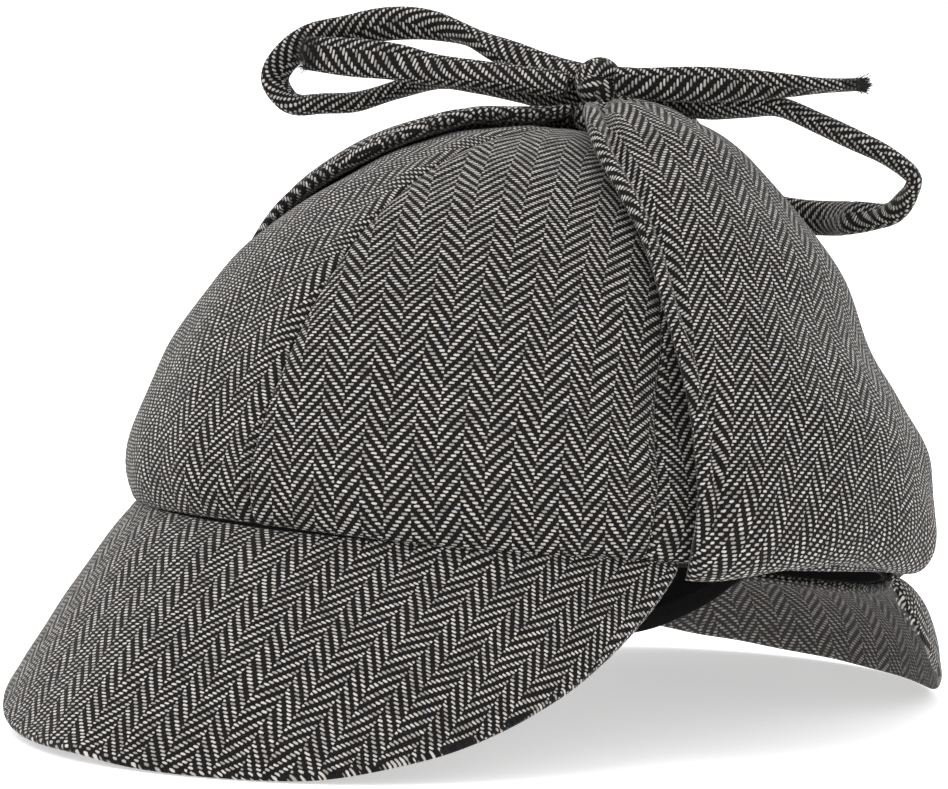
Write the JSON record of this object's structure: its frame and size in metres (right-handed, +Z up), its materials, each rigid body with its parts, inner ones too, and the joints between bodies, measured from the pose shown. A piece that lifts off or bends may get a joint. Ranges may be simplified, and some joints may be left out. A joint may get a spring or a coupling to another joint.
{
  "type": "deerstalker hat",
  "caption": "Herringbone tweed deerstalker hat with peaks front and back and ear flaps folded up and tied in a bow on top.",
  "frame": {"origin": "middle of the bottom of the hat's bounding box without its ties, on the surface that it rests on", "axes": "+Z up, -Y towards the brow and the front peak, +X towards the wearer's left ear"},
  "size_m": [0.1889, 0.2878, 0.1657],
  "materials": {
    "tweed": "black and off-white wool herringbone twill, matt and slightly hairy",
    "ribbon": "plain black woven ribbon"
  },
  "bodies": {
    "root": {"crown_panel_front_right": "tweed", "crown_panel_front_left": "tweed", "crown_panel_side_right": "tweed", "crown_panel_side_left": "tweed", "crown_panel_back_right": "tweed", "crown_panel_back_left": "tweed", "front_peak": "tweed", "rear_peak": "tweed", "ear_flap_right": "tweed", "ear_flap_left": "tweed", "bow_knot": "tweed", "bow_loop_right": "tweed", "bow_loop_left": "tweed", "tie_end_right": "tweed", "tie_end_left": "tweed", "sweatband": "ribbon"}
  },
  "joints": []
}
